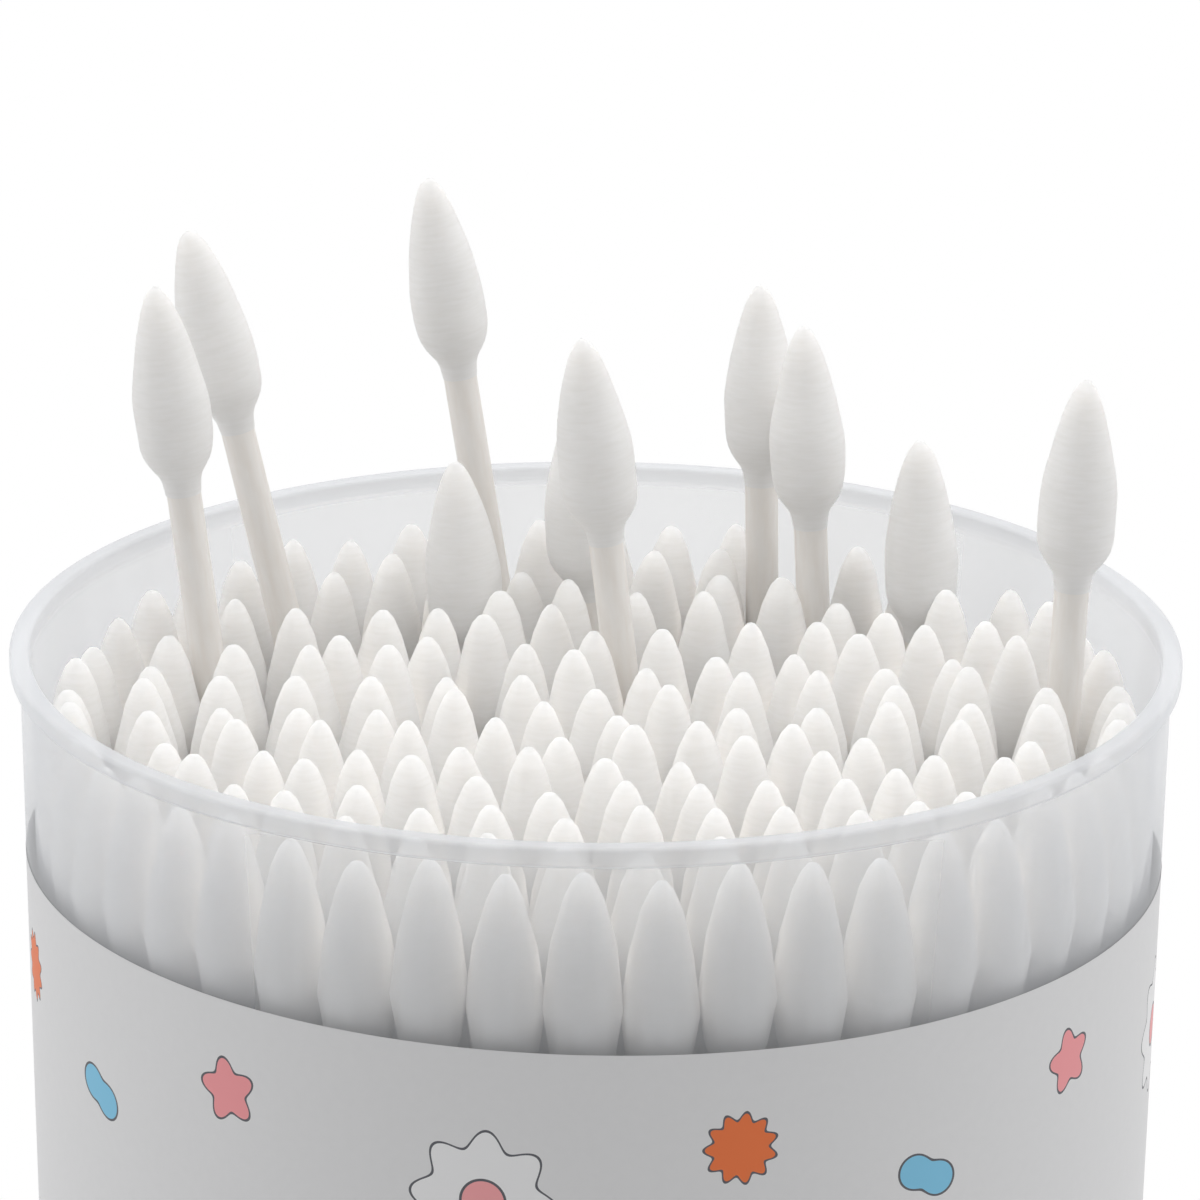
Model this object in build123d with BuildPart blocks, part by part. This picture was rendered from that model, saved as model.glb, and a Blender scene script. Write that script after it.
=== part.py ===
from build123d import *
import cmath
import math
import os

# A tub of cotton swabs. Millimetres, +Z up, origin at the middle of the underside.
# The tub is one frosted moulding with a paper wrap. Swabs stand in it in rings,
# and some have been pulled up out of the bed, each by its own amount and lean.

# Tub
rim_radius = 38.0
tub_height = 78.0
wall = 0.65
draft = 0.6
floor_thickness = 1.2
lip_reach = 0.65
lip_height = 1.3
lip_chamfer = 0.3
base_chamfer = 0.8
inner_chamfer = 1.5
stand_ring_width = 4.0
stand_ring_height = 0.5

# Label
label_thickness = 0.12
label_glue = 0.03
label_below_rim = 14.0
label_above_base = 8.0
label_tilt = 0.9
label_tilt_heading = 225.0
label_lap = 7.0
label_lap_heading = 90.0

# Swabs: a paper stick with a wound cotton bud on each end. Buds that are squeezed
# together in the bed are slimmer than the loose ones above it
swab_length = 73.0
stick_diameter = 2.3
bud_length = 13.4
bud_tip_cover = 2.6
neck_thickness = 0.15
loose_bud_diameter = 5.2
packed_bud_diameter = 4.5
packed_sides = 5
raised_sides = 6

# Outline of a bud: places as shares of its length from the tip, widths as shares
# of its belly
shoulder_place = 0.28
shoulder_width = 0.72
belly_place = 0.62
heel_place = 0.9
heel_width = 0.76

# Bed of packed swabs
wall_clearance = 0.1
side_clearance = 0.06
ring_clearance = 0.1
settle_range = 1.4
settle_step = 0.618
first_heading = -91.0
ring_turn = 53.0
foot_push_step = 1.1
foot_push_steps = 3
foot_push_headings = 12
level_spacing = 1.5

# Raised swabs: distance from the middle as a share of the bed's radius, heading
# of that place, lift as a share of the swab's length, lean and the heading that
# the lean goes towards
raised_swabs = [
    (0.83, 160, 0.337, 7, 180),
    (0.86, 139, 0.359, 13, 175),
    (0.87, 105, 0.375, 9, 180),
    (0.70, 113, 0.121, 4, 180),
    (0.69, 92, 0.175, 3, 180),
    (0.38, 84, 0.279, 7, 180),
    (0.92, 68, 0.266, 2, 130),
    (0.84, 58, 0.244, 4, 140),
    (0.91, 43, 0.148, 2, 160),
    (0.93, 7, 0.278, 2, 20),
]

# Radii and levels worked out from the sizes above
draft_slope = math.tan(math.radians(draft))
stick_radius = stick_diameter / 2
loose_bud_radius = loose_bud_diameter / 2
packed_bud_radius = packed_bud_diameter / 2


def outer_radius(level):
    """Outside of the tub's wall at a level above the base."""
    return rim_radius - lip_reach - (tub_height - level) * draft_slope


def inner_radius(level):
    """Inside of the tub's wall at a level above the base."""
    return outer_radius(level) - wall


# Tub: one revolved section with a small lip, a chamfered foot and a shallow
# recess under the floor, which leaves a ring to stand on. The two long sides of
# the wall are ruled straight from foot to lip
base_radius = outer_radius(0)
floor_radius = inner_radius(floor_thickness)
recess_radius = base_radius - base_chamfer - stand_ring_width
lip_level = tub_height - lip_height
corner_level = floor_thickness + inner_chamfer
with BuildPart() as tub:
    with BuildSketch(Plane.XZ):
        with BuildLine():
            under = Polyline(
                (inner_radius(corner_level), corner_level),
                (floor_radius - inner_chamfer, floor_thickness),
                (0, floor_thickness),
                (0, stand_ring_height),
                (recess_radius - stand_ring_height, stand_ring_height),
                (recess_radius, 0),
                (base_radius - base_chamfer, 0),
                (outer_radius(base_chamfer), base_chamfer),
            )
            lip = Polyline(
                (outer_radius(lip_level), lip_level),
                (rim_radius, lip_level),
                (rim_radius, tub_height - lip_chamfer),
                (rim_radius - lip_chamfer, tub_height),
                (inner_radius(tub_height), tub_height),
            )
            Bezier(under @ 1, lip @ 0)
            Bezier(lip @ 1, under @ 0)
        make_face()
    revolve(axis=Axis.Z)
tub.part.label = "tub"

# Label: a paper sleeve on the wall, cut square to a slightly tilted axis because
# the wrap went on a little crooked, with a short lap at the back where it closes
label_slope = math.tan(math.radians(label_tilt))
label_axis = (
    -label_slope * math.cos(math.radians(label_tilt_heading)),
    -label_slope * math.sin(math.radians(label_tilt_heading)),
    1,
)
lap_arc = math.degrees(label_lap / base_radius)
with BuildPart() as label:
    for level in (label_above_base, tub_height - label_below_rim):
        sleeve_radius = outer_radius(level) + label_glue + label_thickness
        with BuildSketch(Plane(origin=(0, 0, level), x_dir=(1, 0, 0), z_dir=label_axis)):
            with BuildLine():
                lap = CenterArc((0, 0), sleeve_radius + label_thickness, label_lap_heading, lap_arc)
                sleeve = CenterArc((0, 0), sleeve_radius, label_lap_heading + lap_arc, 360 - lap_arc)
                Line(lap @ 1, sleeve @ 0)
                Line(sleeve @ 1, lap @ 0)
            make_face()
    loft(ruled=True)
    for level in (label_above_base, tub_height - label_below_rim):
        with BuildSketch(Plane(origin=(0, 0, level), x_dir=(1, 0, 0), z_dir=label_axis)):
            Circle(outer_radius(level) + label_glue)
    loft(ruled=True, mode=Mode.SUBTRACT)
label.part.label = "label"


def level_place(distance, heading):
    """A place on a level plane, x + yi, at a distance and heading from the middle."""
    return cmath.rect(distance, math.radians(heading))


def bud_outline(belly_radius):
    """Distance from the tip and radius of a bud at its shoulder, belly, heel and neck."""
    return [
        (shoulder_place * bud_length, shoulder_width * belly_radius),
        (belly_place * bud_length, belly_radius),
        (heel_place * bud_length, heel_width * belly_radius),
        (bud_length, stick_radius + neck_thickness),
    ]


def swab_radius(along, belly_radius):
    """Radius of a swab at a distance along it, zero beyond its ends."""
    from_tip = min(along, swab_length - along)
    outline = [(0, 0)] + bud_outline(belly_radius)
    for (start, start_radius), (end, end_radius) in zip(outline, outline[1:]):
        if start <= from_tip < end:
            return start_radius + (end_radius - start_radius) * (from_tip - start) / (end - start)
    return stick_radius if from_tip >= bud_length else 0


def sections(foot, foot_level, slope, belly_radius):
    """Middle and radius of a leaning swab at each level up to the highest packed tip."""
    stretch = math.hypot(1, abs(slope))
    rows = []
    for step in range(int(bed_top / level_spacing) + 1):
        rise = step * level_spacing - foot_level
        rows.append((foot + slope * rise, swab_radius(rise * stretch, belly_radius)))
    return rows


def clear(first, second):
    """True where two swabs keep their clearance at every level."""
    for (place, radius), (other_place, other_radius) in zip(first, second):
        if radius and other_radius:
            if abs(place - other_place) < radius + other_radius + side_clearance:
                return False
    return True


def axis_plane(foot, foot_level, slope):
    """Plane at a swab's lower tip, looking up along the swab."""
    return Plane(origin=(foot.real, foot.imag, foot_level), z_dir=(slope.real, slope.imag, 1))


# Where the raised swabs stand: each passes through its place at the level of the
# packed tips and reaches its lift above it
bed_radius = floor_radius - packed_bud_radius - wall_clearance
bed_level = floor_thickness + swab_length
bed_top = bed_level + settle_range
raised_places = []
for share, heading, lift, lean, lean_heading in raised_swabs:
    slope = level_place(math.tan(math.radians(lean)), lean_heading)
    depth = swab_length * (1 - lift) * math.cos(math.radians(lean))
    foot = level_place(share * bed_radius, heading) - slope * depth
    raised_places.append((foot, bed_level - depth, slope))

# Where the packed swabs stand: in rings from the wall to the middle, on the floor
# or settled a little above it, fanned out with the draft of the wall. Beside a
# raised swab the foot is pushed aside, and where that finds no room the place
# stays empty
ring_count = int(bed_radius / (packed_bud_diameter + ring_clearance))
foot_pushes = [0]
for step in range(foot_push_steps):
    for turn in range(foot_push_headings):
        foot_pushes.append(level_place((step + 1) * foot_push_step, turn * 360 / foot_push_headings))
taken = [sections(*place, loose_bud_radius) for place in raised_places]
packed_rings = []
number = 0
for ring_number in range(ring_count + 1):
    ring_radius = bed_radius * (1 - ring_number / ring_count)
    count = max(1, int(2 * math.pi * ring_radius / (packed_bud_diameter + side_clearance)))
    ring = []
    for index in range(count):
        number += 1
        foot_level = floor_thickness + settle_range * (number * settle_step % 1)
        middle = level_place(ring_radius, first_heading + ring_number * ring_turn + index * 360 / count)
        head = middle * (1 + swab_length * draft_slope / bed_radius)
        for push in foot_pushes:
            foot = middle + push
            slope = (head - foot) / swab_length
            rows = sections(foot, foot_level, slope, packed_bud_radius)
            inside = abs(foot) < bed_radius + wall_clearance / 2
            if inside and all(clear(rows, other) for other in taken):
                ring.append((foot, foot_level, slope))
                taken.append(rows)
                break
    if ring:
        packed_rings.append(ring)

# Packed swab, standing on its tip at the origin: stick and buds in one, with few
# faces because it repeats. Its outline is cut from each side in turn, with the
# lines of the tips run on past the axis
packed_belly = packed_bud_radius * math.cos(math.pi / packed_sides)
packed_stick = stick_radius * math.cos(math.pi / packed_sides)
belly_from_tip = belly_place * bud_length
with BuildPart() as packed_swab:
    for side in range(packed_sides):
        with BuildSketch(Plane.XZ.rotated((0, 0, side * 360 / packed_sides))):
            with BuildLine():
                Polyline(
                    (-2 * packed_belly, -2 * belly_from_tip),
                    (packed_belly, belly_from_tip),
                    (packed_stick, bud_length),
                    (packed_stick, swab_length - bud_length),
                    (packed_belly, swab_length - belly_from_tip),
                    (-2 * packed_belly, swab_length + 2 * belly_from_tip),
                    close=True,
                )
            make_face()
        extrude(
            amount=packed_bud_diameter,
            both=True,
            mode=Mode.INTERSECT if side else Mode.ADD,
        )

# Loose bud, tip down at the origin: wound cotton cut to its outline in the same
# way, with a blind bore from the neck for the end of the stick
raised_flat = math.cos(math.pi / raised_sides)
with BuildPart() as loose_bud:
    for side in range(raised_sides // 2):
        with BuildSketch(Plane.XZ.rotated((0, 0, side * 360 / raised_sides))):
            with BuildLine():
                Polyline(
                    (0, 0),
                    *[(raised_flat * radius, from_tip) for from_tip, radius in bud_outline(loose_bud_radius)],
                    (0, bud_length),
                    close=True,
                )
            make_face()
            mirror(about=Plane.YZ)
        extrude(
            amount=loose_bud_diameter,
            both=True,
            mode=Mode.INTERSECT if side else Mode.ADD,
        )
    with BuildSketch(Plane.XY.offset(bud_tip_cover)):
        RegularPolygon(stick_radius, raised_sides, rotation=180 / raised_sides)
    extrude(amount=bud_length - bud_tip_cover, mode=Mode.SUBTRACT)

# Loose stick, where it stands on its bud: both ends reach the bottoms of the bores
with BuildPart() as loose_stick:
    with BuildSketch(Plane.XY.offset(bud_tip_cover)):
        RegularPolygon(stick_radius, raised_sides, rotation=180 / raised_sides)
    extrude(amount=swab_length - 2 * bud_tip_cover)

os.makedirs("parts", exist_ok=True)
export_step(tub.part, "parts/tub.step")
export_step(label.part, "parts/label.step")

for ring_number, ring in enumerate(packed_rings, 1):
    with BuildPart() as packed_ring:
        with Locations(*[axis_plane(*place).location for place in ring]):
            add(packed_swab.part)
    packed_ring.part.label = f"packed_swabs_ring_{ring_number}"
    export_step(packed_ring.part, f"parts/packed_swabs_ring_{ring_number}.step")

for raised_number, place in enumerate(raised_places, 1):
    lower_tip = axis_plane(*place)
    upper_tip = Plane(
        origin=lower_tip.offset(swab_length).origin,
        x_dir=lower_tip.x_dir,
        z_dir=-lower_tip.z_dir,
    )
    raised_pieces = [
        ("stick", loose_stick, lower_tip),
        ("upper_bud", loose_bud, upper_tip),
        ("lower_bud", loose_bud, lower_tip),
    ]
    for piece, loose_piece, plane in raised_pieces:
        with BuildPart() as raised_piece:
            with Locations(plane.location):
                add(loose_piece.part)
        raised_piece.part.label = f"raised_{piece}_{raised_number}"
        export_step(raised_piece.part, f"parts/raised_{piece}_{raised_number}.step")

print("packed swabs in each ring", [len(ring) for ring in packed_rings], "of", number)
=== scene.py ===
import math
import random

import bmesh
import bpy
from mathutils import Euler, Matrix, Vector, noise


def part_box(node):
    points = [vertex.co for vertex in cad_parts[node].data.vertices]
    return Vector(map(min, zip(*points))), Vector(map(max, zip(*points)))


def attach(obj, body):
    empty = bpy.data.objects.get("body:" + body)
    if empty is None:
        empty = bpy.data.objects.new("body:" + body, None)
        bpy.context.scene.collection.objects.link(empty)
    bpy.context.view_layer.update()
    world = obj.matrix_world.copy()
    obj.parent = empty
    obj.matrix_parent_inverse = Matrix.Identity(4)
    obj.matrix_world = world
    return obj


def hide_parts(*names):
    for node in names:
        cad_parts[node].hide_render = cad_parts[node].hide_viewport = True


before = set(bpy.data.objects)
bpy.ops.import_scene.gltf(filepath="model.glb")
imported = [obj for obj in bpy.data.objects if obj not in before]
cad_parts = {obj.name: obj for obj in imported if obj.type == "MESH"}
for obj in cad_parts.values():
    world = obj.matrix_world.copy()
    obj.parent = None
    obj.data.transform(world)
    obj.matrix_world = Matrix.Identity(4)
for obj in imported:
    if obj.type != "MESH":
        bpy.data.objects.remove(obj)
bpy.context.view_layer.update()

MM = 0.001

# Tub: a thin cup of frosted polypropylene, moulded in one shot with a small rounded
# lip, a drafted wall and a ring to stand on. The mould was grained, so the wall is
# hazy: what stands behind it shows through, and less so on the slant.
tub_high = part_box("tub")[1]
rim_radius = tub_high.x
tub_height = tub_high.z
wall = 0.65 * MM
draft_slope = math.tan(math.radians(0.6))
floor_thickness = 1.2 * MM
lip_reach = 0.65 * MM
lip_height = 1.3 * MM
base_chamfer = 0.8 * MM
inner_corner = 1.5 * MM
stand_ring_width = 4.0 * MM
stand_ring_height = 0.5 * MM
edge_round = 0.28 * MM
edge_round_steps = 4
edge_band = 0.7 * MM
tub_steps = 224
same_corner = 0.001 * MM
sharp_angle = math.radians(50)
tub_tint = "EBEDF1"
milky_wall = 0.215
milky_lip = 0.4
milky_slant = 0.7
slant_blend = 0.15
milky_from = tub_height - lip_height - 0.2 * MM
milky_to = tub_height - lip_height + 0.3 * MM
grain_size = 0.35 * MM
grain_depth = 0.02 * MM
grain_strength = 0.25
frost_smooth = 0.28
frost_rough = 0.36


def linear(hex_colour):
    """Linear RGBA of an sRGB hex colour."""
    shares = [int(hex_colour[i:i + 2], 16) / 255 for i in (0, 2, 4)]
    return [s / 12.92 if s <= 0.04045 else ((s + 0.055) / 1.055) ** 2.4 for s in shares] + [1.0]


def add(tree, kind, sockets=None, **settings):
    """Adds a node with its settings; each socket takes a constant or another node's output."""
    made = tree.nodes.new(kind)
    for name, value in settings.items():
        setattr(made, name, value)
    for key, value in (sockets or {}).items():
        if isinstance(value, bpy.types.NodeSocket):
            tree.links.new(value, made.inputs[key])
        else:
            made.inputs[key].default_value = value
    return made


def new_finish(name):
    """An empty node material: the material and its tree."""
    material = bpy.data.materials.new(name)
    material.use_nodes = True
    material.node_tree.nodes.clear()
    return material, material.node_tree


def put_finish(tree, **sockets):
    """Ends a material with a surface shader that takes these sockets."""
    named = {key.replace("_", " "): value for key, value in sockets.items()}
    surface = add(tree, "ShaderNodeBsdfPrincipled", named, subsurface_method="BURLEY")
    add(tree, "ShaderNodeOutputMaterial", {"Surface": surface.outputs[0]})


def piece(name, shape, material, slot, *nodes):
    """Turns a finished bmesh into a piece that stands for CAD nodes."""
    mesh = bpy.data.meshes.new(name)
    for face in shape.faces:
        face.smooth = True
    for edge in shape.edges:
        edge.smooth = edge.calc_face_angle(0) < sharp_angle
    shape.to_mesh(mesh)
    shape.free()
    mesh.materials.append(material)
    made = bpy.data.objects.new(name, mesh)
    bpy.context.scene.collection.objects.link(made)
    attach(made, "root")
    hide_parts(*nodes)


def outer_radius(level):
    """Outside of the tub's wall at a level."""
    return rim_radius - lip_reach - (tub_height - level) * draft_slope


def inner_radius(level):
    """Inside of the tub's wall at a level."""
    return outer_radius(level) - wall


def spun(shape, outline, steps):
    """Spins an outline of (radius, level) points a full turn round the Z axis."""
    corners = [shape.verts.new((radius, 0, level)) for radius, level in outline]
    sides = [shape.edges.new(pair) for pair in zip(corners, corners[1:])]
    bmesh.ops.spin(
        shape,
        geom=corners + sides,
        cent=(0, 0, 0),
        axis=(0, 0, 1),
        angle=2 * math.pi,
        steps=steps,
        use_merge=True,
    )
    bmesh.ops.remove_doubles(shape, verts=shape.verts, dist=same_corner)
    bmesh.ops.recalc_face_normals(shape, faces=shape.faces)


lip_level = tub_height - lip_height
recess_radius = outer_radius(0) - base_chamfer - stand_ring_width
tub_outline = [
    (0, stand_ring_height),
    (recess_radius - stand_ring_height, stand_ring_height),
    (recess_radius, 0),
    (outer_radius(0) - base_chamfer, 0),
    (outer_radius(base_chamfer), base_chamfer),
    (outer_radius(base_chamfer + edge_band), base_chamfer + edge_band),
    (outer_radius(lip_level - edge_band), lip_level - edge_band),
    (outer_radius(lip_level), lip_level),
    (rim_radius, lip_level),
    (rim_radius, tub_height),
    (inner_radius(tub_height), tub_height),
    (inner_radius(tub_height - edge_band), tub_height - edge_band),
    (inner_radius(floor_thickness + 2 * inner_corner), floor_thickness + 2 * inner_corner),
    (inner_radius(floor_thickness), floor_thickness),
    (inner_radius(floor_thickness) - 2 * inner_corner, floor_thickness),
    (0, floor_thickness),
]
# Radius and level of each edge that is rounded off, and the size of its round
tub_rounds = [
    (rim_radius, tub_height, edge_round),
    (rim_radius, lip_level, edge_round),
    (inner_radius(tub_height), tub_height, edge_round),
    (outer_radius(lip_level), lip_level, edge_round),
    (outer_radius(base_chamfer), base_chamfer, edge_round),
    (outer_radius(0) - base_chamfer, 0, edge_round),
    (inner_radius(floor_thickness), floor_thickness, inner_corner),
]
tub_shape = bmesh.new()
spun(tub_shape, tub_outline, tub_steps)
for radius, level, round_size in tub_rounds:
    rounded_edges = []
    for edge in tub_shape.edges:
        offsets = [math.hypot(v.co.xy.length - radius, v.co.z - level) for v in edge.verts]
        if max(offsets) < same_corner:
            rounded_edges.append(edge)
    bmesh.ops.bevel(
        tub_shape,
        geom=rounded_edges,
        offset=round_size,
        offset_type="OFFSET",
        segments=edge_round_steps,
        profile=0.5,
        affect="EDGES",
        material=-1,
    )

# Polypropylene, frosted by a grained mould: soft gloss and a milky body, denser where
# it is looked at on the slant and in the lip; its grain is drawn coarser than it is
frosted, tree = new_finish("frosted_polypropylene")
place = add(tree, "ShaderNodeTexCoord")
grain = add(tree, "ShaderNodeTexNoise", {
    "Vector": place.outputs["Object"],
    "Scale": 1 / grain_size,
    "Detail": 2.0,
})
haze = add(tree, "ShaderNodeMapRange", {
    "Value": grain.outputs["Fac"],
    "To Min": frost_smooth,
    "To Max": frost_rough,
})
relief = add(tree, "ShaderNodeBump", {
    "Height": grain.outputs["Fac"],
    "Strength": grain_strength,
    "Distance": grain_depth,
})
tub_axes = add(tree, "ShaderNodeSeparateXYZ", {"Vector": place.outputs["Object"]})
lip_milk = add(tree, "ShaderNodeMapRange", {
    "Value": tub_axes.outputs["Z"],
    "From Min": milky_from,
    "From Max": milky_to,
    "To Min": milky_wall,
    "To Max": milky_lip,
})
slant = add(tree, "ShaderNodeLayerWeight", {"Blend": slant_blend})
milkiness = add(tree, "ShaderNodeMath", {
    0: slant.outputs["Facing"],
    1: milky_slant,
    2: lip_milk.outputs["Result"],
}, operation="MULTIPLY_ADD")
put_finish(
    tree,
    Base_Color=linear(tub_tint),
    Roughness=haze.outputs["Result"],
    IOR=1.49,
    Transmission_Weight=0.1,
    Alpha=milkiness.outputs[0],
    Normal=relief.outputs["Normal"],
)
piece("tub_cup", tub_shape, frosted, "frosted_polypropylene", "tub")

# Label: one strip of coated paper, wrapped round the wall and glued to itself in a
# short lap at the back. It went on a little crooked, so its edges run on a tilt.
label_thickness = 0.12 * MM
label_glue = 0.03 * MM
label_top = tub_height - 14.0 * MM
label_foot = 8.0 * MM
label_tilt = math.tan(math.radians(0.9))
label_tilt_heading = math.radians(225)
label_lap = 7.0 * MM
label_lap_heading = math.radians(90)
label_lap_ramp = 0.1
label_steps = 240

lap_turn = label_lap / outer_radius(label_foot)
strip_turn = 2 * math.pi + lap_turn
label_shape = bmesh.new()
bmesh.ops.create_grid(label_shape, x_segments=label_steps, y_segments=1, size=0.5)
printed_place = label_shape.verts.layers.float_vector.new("strip_place")
for corner in label_shape.verts:
    turn = strip_turn * (corner.co.x + 0.5)
    height = (label_top - label_foot) * (corner.co.y + 0.5)
    heading = label_lap_heading + turn
    on_lap = min(1.0, max(0.0, (turn - 2 * math.pi) / (label_lap_ramp * lap_turn) + 1))
    radius = outer_radius(label_foot + height) + label_glue + on_lap * label_thickness
    rise = radius * label_tilt * math.cos(heading - label_tilt_heading)
    radius += rise * draft_slope
    corner[printed_place] = Vector((turn * rim_radius, height, 0)) / MM
    corner.co = (radius * math.cos(heading), radius * math.sin(heading), label_foot + height + rise)
bmesh.ops.solidify(label_shape, geom=label_shape.faces[:], thickness=-label_thickness)

# Coated label paper: matte white with a faint cloud of fibres, printed in flat inks
# with small waved discs, such as suns and blooms, each with a thin dark line round it;
# its sizes are in millimetres, as the places stored on the strip are
paper_white = "E2E2E3"
paper_cloud = "DEDEDF"
ink_line = "54555B"
ink_line_width = 0.17
cloud_size = 0.7
cloud_depth = 0.02 * MM
cloud_strength = 0.1
print_repeats = 4
print_rows = 3
print_pitch = 2 * math.pi * rim_radius / MM / print_repeats
print_row_height = (label_top - label_foot) / MM / print_rows
print_row_shift = 23.0
label_paper, tree = new_finish("coated_label_paper")
strip = add(tree, "ShaderNodeAttribute", attribute_name="strip_place")
cloud = add(tree, "ShaderNodeTexNoise", {
    "Vector": strip.outputs["Vector"],
    "Scale": 1 / cloud_size,
    "Detail": 3.0,
})
printed = add(tree, "ShaderNodeMix", {
    0: cloud.outputs["Fac"],
    6: linear(paper_white),
    7: linear(paper_cloud),
}, data_type="RGBA").outputs[2]
# The print runs in level rows, each shifted along from the row below
strip_axes = add(tree, "ShaderNodeSeparateXYZ", {"Vector": strip.outputs["Vector"]})
row_share = add(tree, "ShaderNodeMath", {
    0: strip_axes.outputs["Y"],
    1: print_row_height,
}, operation="DIVIDE")
row = add(tree, "ShaderNodeMath", {0: row_share.outputs[0]}, operation="FLOOR")
row_place = add(tree, "ShaderNodeCombineXYZ", {"X": row.outputs[0], "Y": row.outputs[0]})
row_start = add(tree, "ShaderNodeVectorMath", {
    0: row_place.outputs[0],
    1: (print_row_shift, print_row_height, 0),
}, operation="MULTIPLY")
in_row = add(tree, "ShaderNodeVectorMath", {
    0: strip.outputs["Vector"],
    1: row_start.outputs[0],
}, operation="SUBTRACT")
# Place along and up the row, radius, count, depth and turn of the waves, and ink
motifs = [
    (7.0, 8.8, 4.2, 8, 0.13, 0.4, "EDEDEE"),
    (7.0, 8.8, 1.5, 0, 0.0, 0.0, "F0A3A6"),
    (23.0, 12.4, 2.2, 11, 0.12, 0.0, "E8743B"),
    (36.0, 8.6, 1.7, 2, 0.36, 0.8, "7FC4E4"),
    (49.0, 12.8, 1.9, 5, 0.2, 0.6, "EF9A9E"),
]
for along, up, size, waves, wave_depth, wave_turn, ink in motifs:
    moved = add(tree, "ShaderNodeVectorMath", {
        0: in_row.outputs[0],
        1: (along, up, 0),
    }, operation="SUBTRACT")
    repeated = add(tree, "ShaderNodeVectorMath", {
        0: moved.outputs[0],
        1: (print_pitch / 2, print_row_height, 1),
        2: (-print_pitch / 2, -print_row_height, -1),
    }, operation="WRAP")
    distance = add(tree, "ShaderNodeVectorMath", {0: repeated.outputs[0]}, operation="LENGTH")
    angle = add(tree, "ShaderNodeTexGradient", {
        "Vector": repeated.outputs[0],
    }, gradient_type="RADIAL")
    wave_place = add(tree, "ShaderNodeMath", {
        0: angle.outputs["Fac"],
        1: 2 * math.pi * waves,
        2: wave_turn,
    }, operation="MULTIPLY_ADD")
    wave = add(tree, "ShaderNodeMath", {0: wave_place.outputs[0]}, operation="COSINE")
    motif_edge = add(tree, "ShaderNodeMath", {
        0: wave.outputs[0],
        1: size * wave_depth,
        2: size,
    }, operation="MULTIPLY_ADD")
    spare = add(tree, "ShaderNodeMath", {
        0: motif_edge.outputs[0],
        1: distance.outputs["Value"],
    }, operation="SUBTRACT")
    lined = add(tree, "ShaderNodeMath", {0: spare.outputs[0], 1: 0.0}, operation="GREATER_THAN")
    filled = add(tree, "ShaderNodeMath", {
        0: spare.outputs[0],
        1: ink_line_width,
    }, operation="GREATER_THAN")
    outlined = add(tree, "ShaderNodeMix", {
        0: lined.outputs[0],
        6: printed,
        7: linear(ink_line),
    }, data_type="RGBA")
    printed = add(tree, "ShaderNodeMix", {
        0: filled.outputs[0],
        6: outlined.outputs[2],
        7: linear(ink),
    }, data_type="RGBA").outputs[2]
paper_relief = add(tree, "ShaderNodeBump", {
    "Height": cloud.outputs["Fac"],
    "Strength": cloud_strength,
    "Distance": cloud_depth,
})
put_finish(
    tree,
    Base_Color=printed,
    Roughness=0.55,
    IOR=1.5,
    Normal=paper_relief.outputs["Normal"],
)
piece("label_wrap", label_shape, label_paper, "label_paper", "label")

# Packed swabs: paper sticks with a pointed bud of wound cotton on each end, stood on
# end in rings. The buds are pressed together, so they are slim and a little uneven.
bud_length = 13.4 * MM
stick_radius = 1.15 * MM
neck_radius = 1.3 * MM
packed_belly = 2.54 * MM
packed_belly_spread = (0.95, 1.03)
packed_sharpness = (0.45, 0.55)
packed_heel = 2.0
head_steps = 10
head_rows = (0, 0.01, 0.045, 0.14, 0.36, 0.64, 0.87, 1)
foot_steps = 8
foot_rows = (0, 0.06, 0.3, 0.66, 1)
packed_stick_steps = 8
packed_kinds = 8
wall_gap = 0.06 * MM
stick_overlap = 3.0 * MM
belly_place = 0.62
nose_power = 8
flare_skin = 0.02 * MM
bud_lump = 0.05
lumps_per_mm = 0.3
lump_shift = 17.0
fibre_shift = 31.0
draws = random.Random(7)


def solids_of(node):
    """Corners of each separate solid of a CAD node, read from a merged copy."""
    copy = bmesh.new()
    copy.from_mesh(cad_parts[node].data)
    bmesh.ops.remove_doubles(copy, verts=copy.verts, dist=same_corner)
    seen = set()
    groups = []
    for start in copy.verts:
        if start.index in seen:
            continue
        group = []
        waiting = [start]
        seen.add(start.index)
        while waiting:
            corner = waiting.pop()
            group.append(corner.co.copy())
            for edge in corner.link_edges:
                other = edge.other_vert(corner)
                if other.index not in seen:
                    seen.add(other.index)
                    waiting.append(other)
        groups.append(group)
    copy.free()
    return groups


def swab_ends(corners):
    """Lower and upper tip of a standing swab."""
    return min(corners, key=lambda c: c.z), max(corners, key=lambda c: c.z)


def bud_radius(share, belly, sharpness, heel):
    """Radius of a bud at a share of its length from the tip, on the stick beyond its neck."""
    if share > 1:
        return stick_radius + flare_skin
    if share < belly_place:
        rise = share / belly_place
        return belly * (rise + (rise - rise ** nose_power) / (nose_power - 1)) ** sharpness
    past = (share - belly_place) / (1 - belly_place)
    return belly - (belly - neck_radius) * (1 - math.cos(math.pi * past ** heel)) / 2


def bud_shape(belly, sharpness, heel, rows, steps, seed):
    """A wound bud with its tip at the origin and its neck up Z, lumpy as cotton is."""
    shape = bmesh.new()
    outline = [(bud_radius(row, belly, sharpness, heel), row * bud_length) for row in rows]
    spun(shape, outline, steps)
    bmesh.ops.holes_fill(shape, edges=shape.edges)
    fibre = shape.verts.layers.float_vector.new("wound_place")
    for corner in shape.verts:
        spot = corner.co / MM
        lump = noise.noise(spot * lumps_per_mm + Vector((seed * lump_shift, 0, 0)))
        swell = 1 + bud_lump * lump
        corner.co.x *= swell
        corner.co.y *= swell
        corner[fibre] = spot + Vector((seed * fibre_shift, 0, 0))
    return shape


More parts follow.
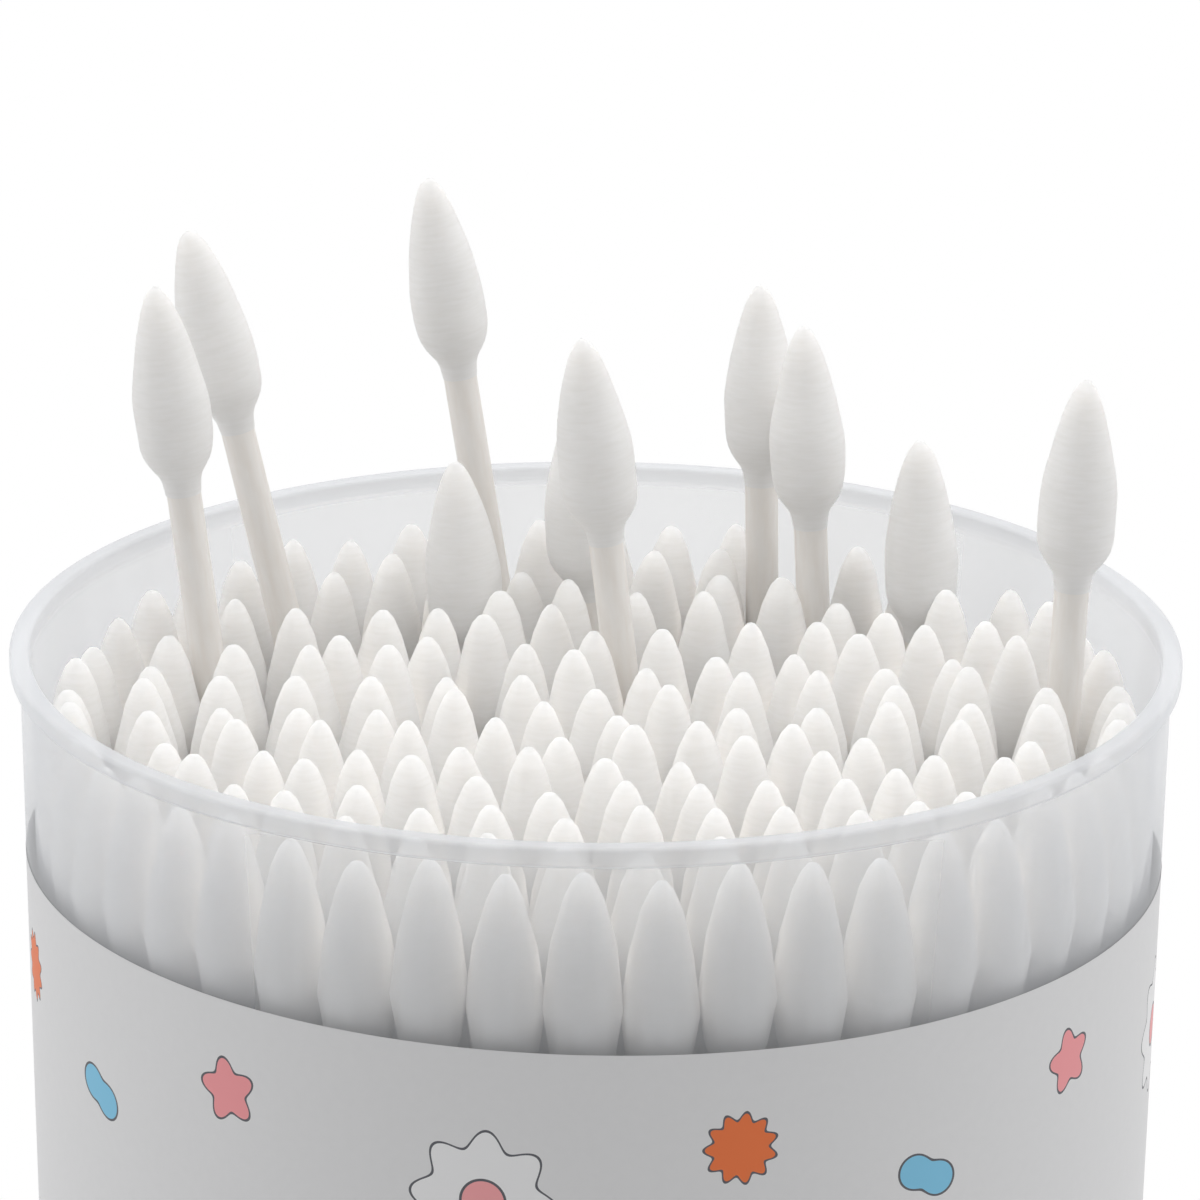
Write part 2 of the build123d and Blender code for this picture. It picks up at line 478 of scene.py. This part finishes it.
def stood(start, end, turn=0.0):
    """Matrix that stands a shape at a start, its Z axis towards an end."""
    aim = Vector((0, 0, 1)).rotation_difference(end - start).to_matrix().to_4x4()
    return Matrix.Translation(start) @ aim @ Matrix.Rotation(turn, 4, "Z")


def put_in(shape, mesh, matrix):
    """Adds a mesh to a bmesh at a place."""
    count = len(mesh.vertices)
    shape.from_mesh(mesh)
    shape.verts.ensure_lookup_table()
    bmesh.ops.transform(shape, matrix=matrix, verts=shape.verts[-count:])


def put_stick(shape, start, end, steps):
    """Adds a paper stick between two points, with each corner's place along it stored."""
    length = (end - start).length
    if not shape.verts.layers.float_vector:
        shape.verts.layers.float_vector.new("wound_place")
    fibre = shape.verts.layers.float_vector["wound_place"]
    made = bmesh.ops.create_cone(
        shape,
        cap_ends=True,
        segments=steps,
        radius1=stick_radius,
        radius2=stick_radius,
        depth=length,
        matrix=Matrix.Translation((0, 0, length / 2)),
    )
    for corner in made["verts"]:
        corner[fibre] = corner.co / MM
    bmesh.ops.transform(shape, matrix=stood(start, end), verts=made["verts"])


# Cotton wool, wound in fine turns: bright, with no gloss, soft at the edges, and
# faint level streaks where the fibres lie round the bud, drawn coarser than they are;
# the streaks' sizes are in millimetres, as the places stored on a bud are
fibre_pitch = 0.22
fibre_run = 1.8
fibre_depth = 0.05 * MM
fibre_strength = 0.05
fibre_contrast = (0.3, 0.7)
cotton_colours = ("F6F5F3", "FBFAF9")
cotton_softness = 2.4 * MM
soft_share = 0.75
cotton, tree = new_finish("wound_cotton")
bud_place = add(tree, "ShaderNodeAttribute", attribute_name="wound_place")
streak_place = add(tree, "ShaderNodeMapping", {
    "Vector": bud_place.outputs["Vector"],
    "Scale": (1 / fibre_run, 1 / fibre_run, 1 / fibre_pitch),
})
streaks = add(tree, "ShaderNodeTexNoise", {
    "Vector": streak_place.outputs["Vector"],
    "Scale": 1.0,
    "Detail": 3.0,
    "Roughness": 0.6,
})
cotton_colour = add(tree, "ShaderNodeValToRGB", {"Fac": streaks.outputs["Fac"]})
for stop, position, colour in zip(cotton_colour.color_ramp.elements, fibre_contrast, cotton_colours):
    stop.position = position
    stop.color = linear(colour)
bud_axes = add(tree, "ShaderNodeSeparateXYZ", {"Vector": bud_place.outputs["Vector"]})
cotton_depth = add(tree, "ShaderNodeMapRange", {
    "Value": bud_axes.outputs["Z"],
    "From Min": soft_share * bud_length / MM,
    "From Max": bud_length / MM,
    "To Min": 1.0,
    "To Max": 0.0,
})
cotton_relief = add(tree, "ShaderNodeBump", {
    "Height": streaks.outputs["Fac"],
    "Strength": fibre_strength,
    "Distance": fibre_depth,
})
put_finish(
    tree,
    Base_Color=cotton_colour.outputs["Color"],
    Roughness=0.95,
    Specular_IOR_Level=0.1,
    Subsurface_Weight=cotton_depth.outputs["Result"],
    Subsurface_Radius=(1.0, 0.92, 0.84),
    Subsurface_Scale=cotton_softness,
    Normal=cotton_relief.outputs["Normal"],
)

# Rolled paper, unbleached enough to look creamy, with fine fibres along the stick,
# drawn coarser than they are; how many there are is counted per millimetre
stick_fibres_across = 2.2
stick_fibres_along = 0.35
stick_fibre_depth = 0.03 * MM
stick_fibre_strength = 0.2
stick_colours = ("F9F4EE", "FEFBF7")
stick_paper, tree = new_finish("rolled_stick_paper")
stick_place = add(tree, "ShaderNodeAttribute", attribute_name="wound_place")
stick_fibre_place = add(tree, "ShaderNodeMapping", {
    "Vector": stick_place.outputs["Vector"],
    "Scale": (stick_fibres_across, stick_fibres_across, stick_fibres_along),
})
stick_fibres = add(tree, "ShaderNodeTexNoise", {
    "Vector": stick_fibre_place.outputs["Vector"],
    "Scale": 1.0,
    "Detail": 4.0,
})
stick_colour = add(tree, "ShaderNodeValToRGB", {"Fac": stick_fibres.outputs["Fac"]})
for stop, position, colour in zip(stick_colour.color_ramp.elements, fibre_contrast, stick_colours):
    stop.position = position
    stop.color = linear(colour)
stick_relief = add(tree, "ShaderNodeBump", {
    "Height": stick_fibres.outputs["Fac"],
    "Strength": stick_fibre_strength,
    "Distance": stick_fibre_depth,
})
put_finish(
    tree,
    Base_Color=stick_colour.outputs["Color"],
    Roughness=0.8,
    Specular_IOR_Level=0.2,
    Normal=stick_relief.outputs["Normal"],
)

# A few kinds of bud are made once and repeated; feet, hidden in the tub, are plainer
packed_heads = []
packed_feet = []
bud_kinds = ((packed_heads, head_rows, head_steps), (packed_feet, foot_rows, foot_steps))
for kind in range(packed_kinds):
    belly = packed_belly * draws.uniform(*packed_belly_spread)
    sharpness = draws.uniform(*packed_sharpness)
    for made, rows, steps in bud_kinds:
        shape = bud_shape(belly, sharpness, packed_heel, rows, steps, kind)
        mesh = bpy.data.meshes.new("packed_bud")
        shape.to_mesh(mesh)
        shape.free()
        made.append(mesh)

ring_nodes = sorted(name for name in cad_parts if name.startswith("packed_swabs_ring_"))
for node in ring_nodes:
    number = node.rsplit("_", 1)[1]
    buds = bmesh.new()
    sticks = bmesh.new()
    for corners in solids_of(node):
        foot, head = swab_ends(corners)
        along = (head - foot).normalized()
        for kinds, tip, other in ((packed_feet, foot, head), (packed_heads, head, foot)):
            turn = draws.uniform(0, 2 * math.pi)
            put_in(buds, draws.choice(kinds), stood(tip, other, turn))
        stick_inset = along * (bud_length - stick_overlap)
        put_stick(sticks, foot + stick_inset, head - stick_inset, packed_stick_steps)
    # Cotton that meets the wall is pressed flat against it
    for corner in buds.verts:
        radius = corner.co.xy.length
        limit = inner_radius(corner.co.z) - wall_gap
        if radius > limit:
            corner.co.xy *= limit / radius
    piece(f"packed_sticks_ring_{number}", sticks, stick_paper, "stick_paper", node)
    piece(f"packed_buds_ring_{number}", buds, cotton, "cotton", node)
for mesh in packed_heads + packed_feet:
    bpy.data.meshes.remove(mesh)

# Raised swabs: ten that have been pulled up out of the bed by hand. They are the same
# swabs, but nothing presses on them, so their buds are full.
loose_belly = 2.6 * MM
loose_belly_spread = (0.96, 1.0)
loose_sharpness = (0.47, 0.54)
loose_heel = 2.9
loose_seeds = (20, 90)
loose_turns = (0, 6)
tip_rows = [0, 0.003, 0.01, 0.022, 0.042]
body_start = 0.07
body_bands = 26
neck_end = 1.067
body_rows = [body_start + (1 - body_start) * band / body_bands for band in range(body_bands + 1)]
raised_rows = tip_rows + body_rows + [neck_end]
raised_steps = 32
raised_stick_steps = 24
raised_count = sum(1 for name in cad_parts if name.startswith("raised_stick_"))
for number in range(1, raised_count + 1):
    lower_corners = solids_of(f"raised_lower_bud_{number}")[0]
    upper_corners = solids_of(f"raised_upper_bud_{number}")[0]
    foot, head = swab_ends(lower_corners + upper_corners)
    along = (head - foot).normalized()
    stick = bmesh.new()
    stick_inset = along * (bud_length - stick_overlap)
    put_stick(stick, foot + stick_inset, head - stick_inset, raised_stick_steps)
    piece(f"loose_stick_{number}", stick, stick_paper, "stick_paper", f"raised_stick_{number}")
    for end, tip, other in (("upper", head, foot), ("lower", foot, head)):
        belly = loose_belly * draws.uniform(*loose_belly_spread)
        sharpness = draws.uniform(*loose_sharpness)
        seed = draws.uniform(*loose_seeds)
        turn = draws.uniform(*loose_turns)
        bud = bud_shape(belly, sharpness, loose_heel, raised_rows, raised_steps, seed)
        bmesh.ops.transform(bud, matrix=stood(tip, other, turn), verts=bud.verts)
        piece(f"loose_{end}_bud_{number}", bud, cotton, "cotton", f"raised_{end}_bud_{number}")

# Stage: a pale floor that keeps the tub's real shadow close by and turns to plain white further off,
# so its grey near the tub is also a painted shade round the tub's foot; soft lamps above and at both
# sides; and the camera of the photograph.
floor_reach = 3.0
floor_steps = 96
floor_and_shade_grey = "D6D6D6"
shadow_near = 45 * MM
shadow_far = 85 * MM
floor_shape = bmesh.new()
bmesh.ops.create_circle(floor_shape, cap_ends=True, segments=floor_steps, radius=floor_reach)
floor_mesh = bpy.data.meshes.new("floor")
floor_shape.to_mesh(floor_mesh)
floor_shape.free()
floor = bpy.data.objects.new("floor", floor_mesh)
bpy.context.scene.collection.objects.link(floor)


def seen_white(tree):
    """One where the camera looks, straight or by a gloss or a clear wall, zero for other light."""
    path = add(tree, "ShaderNodeLightPath")
    glossy = add(tree, "ShaderNodeMath", {
        0: path.outputs["Is Camera Ray"],
        1: path.outputs["Is Glossy Ray"],
    }, operation="MAXIMUM")
    clear = add(tree, "ShaderNodeMath", {
        0: glossy.outputs[0],
        1: path.outputs["Is Transmission Ray"],
    }, operation="MAXIMUM")
    direct = add(tree, "ShaderNodeMath", {
        0: path.outputs["Diffuse Depth"],
        1: 0.5,
    }, operation="LESS_THAN")
    seen = add(tree, "ShaderNodeMath", {
        0: clear.outputs[0],
        1: direct.outputs[0],
    }, operation="MULTIPLY")
    return seen.outputs[0]


backdrop, tree = new_finish("pale_backdrop")
floor_place = add(tree, "ShaderNodeTexCoord")
floor_distance = add(tree, "ShaderNodeVectorMath", {
    0: floor_place.outputs["Object"],
}, operation="LENGTH")
# Grey near the tub and white further off where the camera looks: a painted shade round the tub's
# foot, on top of its real shadow
fade = add(tree, "ShaderNodeMapRange", {
    "Value": floor_distance.outputs["Value"],
    "From Min": shadow_near,
    "From Max": shadow_far,
}, interpolation_type="SMOOTHSTEP")
white_share = add(tree, "ShaderNodeMath", {
    0: fade.outputs["Result"],
    1: seen_white(tree),
}, operation="MULTIPLY")
floor_and_painted_shade = add(tree, "ShaderNodeBsdfDiffuse", {"Color": linear(floor_and_shade_grey)})
white = add(tree, "ShaderNodeEmission", {"Strength": 1.0})
floor_surface = add(tree, "ShaderNodeMixShader", {
    0: white_share.outputs[0],
    1: floor_and_painted_shade.outputs[0],
    2: white.outputs[0],
})
add(tree, "ShaderNodeOutputMaterial", {"Surface": floor_surface.outputs[0]})
floor_mesh.materials.append(backdrop)

sky_level = 0.5
scene = bpy.context.scene
sky = bpy.data.worlds.new("studio")
scene.world = sky
sky.use_nodes = True
sky.node_tree.nodes.clear()
sky_strength = add(sky.node_tree, "ShaderNodeMix", {
    0: seen_white(sky.node_tree),
    2: sky_level,
    3: 1.0,
})
sky_light = add(sky.node_tree, "ShaderNodeBackground", {"Strength": sky_strength.outputs[0]})
add(sky.node_tree, "ShaderNodeOutputWorld", {"Surface": sky_light.outputs[0]})

tub_middle = Vector((0, 0, 0.5 * tub_height))
# Place and size in metres, and power in watts
lamps = [
    ("top_lamp", (0, 0.08, 1.0), 1.0, 5.8),
    ("left_lamp", (-0.9, 0.05, 0.35), 0.9, 2.9),
    ("right_lamp", (0.9, 0.05, 0.35), 0.9, 3.0),
]
for name, spot, size, watts in lamps:
    lamp_data = bpy.data.lights.new(name, "AREA")
    lamp_data.size = size
    lamp_data.energy = watts
    lamp = bpy.data.objects.new(name, lamp_data)
    lamp.location = spot
    lamp.rotation_euler = (tub_middle - Vector(spot)).to_track_quat("-Z", "Y").to_euler()
    scene.collection.objects.link(lamp)

camera_spot = (0, -343.96 * MM, 198.04 * MM)
camera_dip = math.radians(18.872)
camera_yaw = math.radians(-0.038)
camera_roll = math.radians(0.563)
camera_data = bpy.data.cameras.new("camera")
camera_data.sensor_width = 36.0
camera_data.lens = 168.0
camera_data.clip_start = 0.01
camera = bpy.data.objects.new("camera", camera_data)
camera_aim = Euler((math.pi / 2 - camera_dip, 0, camera_yaw)).to_matrix()
camera_turn = camera_aim @ Matrix.Rotation(camera_roll, 3, "Z")
camera.matrix_world = Matrix.Translation(camera_spot) @ camera_turn.to_4x4()
scene.collection.objects.link(camera)
scene.camera = camera
scene.view_settings.view_transform = "Standard"
